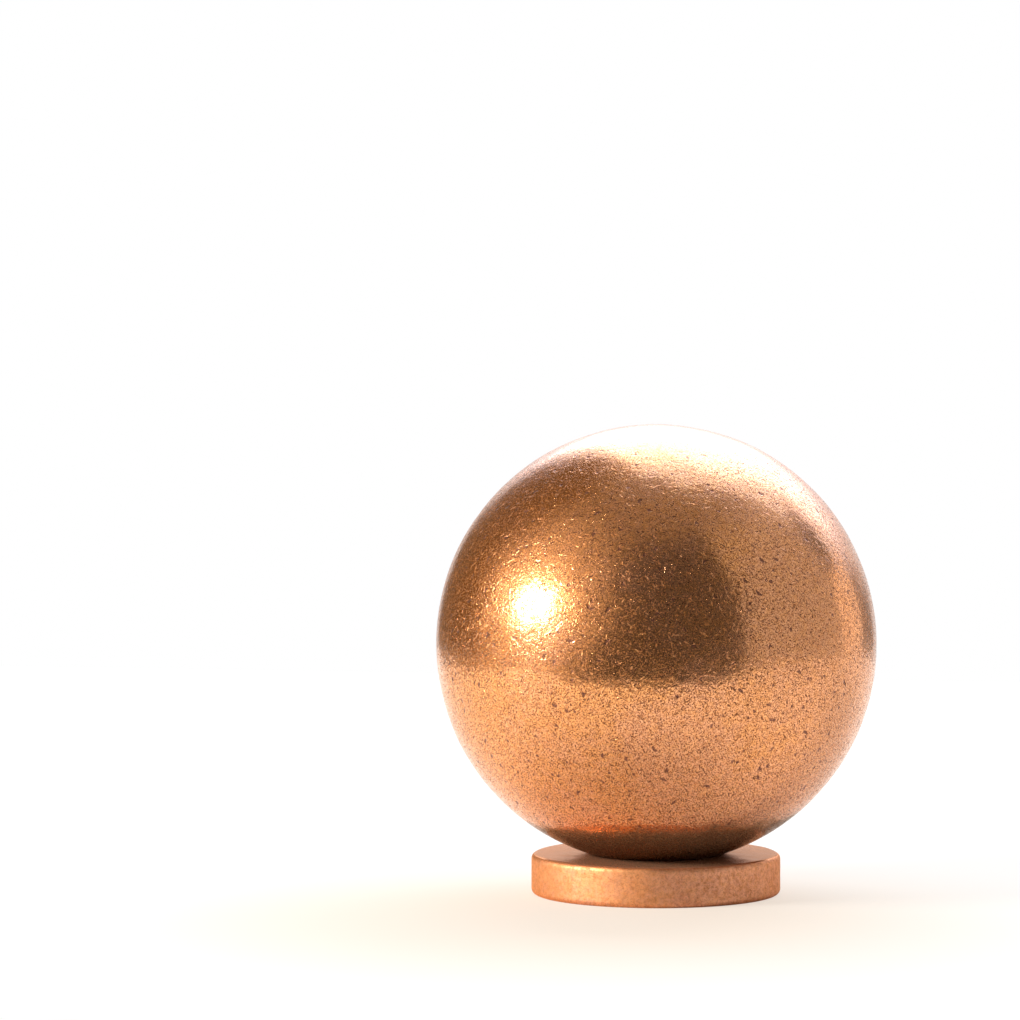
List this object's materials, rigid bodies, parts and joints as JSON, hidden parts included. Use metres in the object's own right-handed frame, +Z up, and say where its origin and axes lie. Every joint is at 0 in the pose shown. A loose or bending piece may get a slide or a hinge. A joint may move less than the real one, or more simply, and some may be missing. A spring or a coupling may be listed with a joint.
{
  "type": "copper sphere",
  "caption": "Solid copper desk sphere with a tumbled, finely pitted finish, resting in the bore of a low round copper ring stand.",
  "frame": {"origin": "centre of the ring stand's base, on the surface that it stands on", "axes": "+Z up along the common axis of the ring and the sphere; X and Y are level and free to choose, because the part is round"},
  "size_m": [0.06, 0.06, 0.0642],
  "materials": {
    "sphere_copper": "tumbled copper, satin to polished, finely pitted",
    "ring_copper": "tumbled copper, satin, finely pitted"
  },
  "bodies": {
    "root": {"sphere": "sphere_copper", "ring_stand": "ring_copper"}
  },
  "joints": []
}
